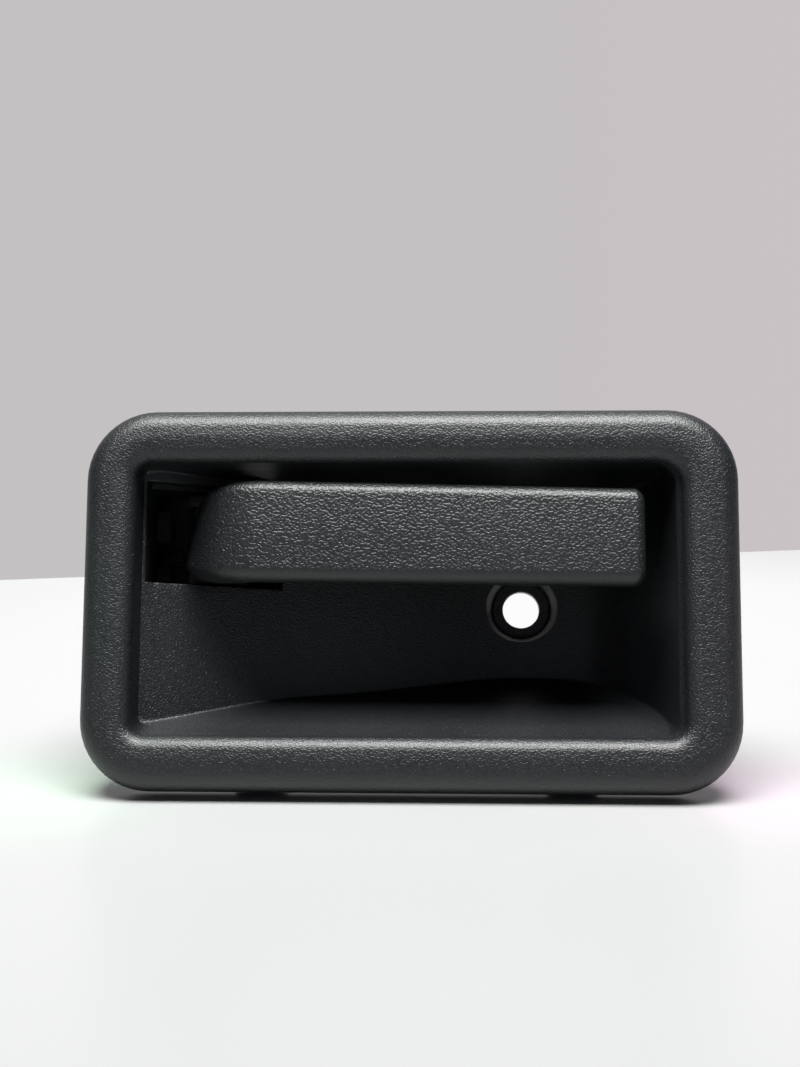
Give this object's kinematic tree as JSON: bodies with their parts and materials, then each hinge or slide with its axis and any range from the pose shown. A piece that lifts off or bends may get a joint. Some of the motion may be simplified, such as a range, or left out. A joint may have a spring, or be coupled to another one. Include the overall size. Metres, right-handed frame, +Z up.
{
  "type": "car door handle",
  "caption": "Interior car door handle: a grained rounded-rectangle frame and finger cup with a sprung pull lever, a rod crank and push-in panel clips.",
  "frame": {"origin": "centre of the frame's rounded-rectangle outline, on the plane of the rear lip that meets the door panel", "axes": "+X along the handle towards the lever's free end, +Y into the door away from the user, +Z up with the lever in the upper half of the cup"},
  "size_m": [0.12, 0.0435, 0.07],
  "materials": {
    "black_grained_plastic": "satin, leather-grained",
    "black_glass_filled_plastic": "satin",
    "black_foam": "open matt foam",
    "zinc_plated_steel": "bright zinc",
    "black_coated_zinc": "satin black e-coat on a casting",
    "black_coated_steel": "satin black e-coat",
    "dark_spring_steel": "dark phosphated drawn wire",
    "phosphated_steel": "dark phosphate",
    "black_acetal": "satin",
    "black_rubber": "matt",
    "green_acetal": "satin"
  },
  "bodies": {
    "housing": {"bezel_cup": "black_grained_plastic", "bezel_gasket": "black_foam", "pivot_pin": "zinc_plated_steel", "pin_clip": "phosphated_steel", "lower_washer": "black_acetal", "upper_washer": "black_acetal", "return_spring": "dark_spring_steel", "rest_buffer": "black_rubber", "stop_buffer": "black_rubber", "panel_clip_1": "phosphated_steel", "panel_clip_2": "phosphated_steel", "panel_clip_3": "phosphated_steel", "panel_clip_4": "phosphated_steel"},
    "lever": {"lever_cover": "black_grained_plastic", "lever_carrier": "black_glass_filled_plastic", "lever_root": "black_coated_zinc", "root_screw_1": "phosphated_steel", "root_screw_2": "phosphated_steel", "lower_bush": "black_acetal", "upper_bush": "black_acetal", "crank_arm": "black_coated_steel", "crank_screw_1": "phosphated_steel", "crank_screw_2": "phosphated_steel"},
    "rod_clip": {"rod_clip": "green_acetal"}
  },
  "joints": [
    {"name": "lever_hinge", "type": "hinge", "parent": "housing", "child": "lever", "pos_m": [-0.039, 0.015, 0.0115], "axis": [0, 0, -1], "range_deg": [0, 28], "stiffness_Nm_per_rad": 0.12, "springref_deg": -20.05, "deforming": ["return_spring"]},
    {"name": "rod_clip_swivel", "type": "hinge", "parent": "lever", "child": "rod_clip", "pos_m": [-0.039, 0.03, 0.0199], "axis": [0, 0, -1], "range_deg": [0, 90]}
  ]
}
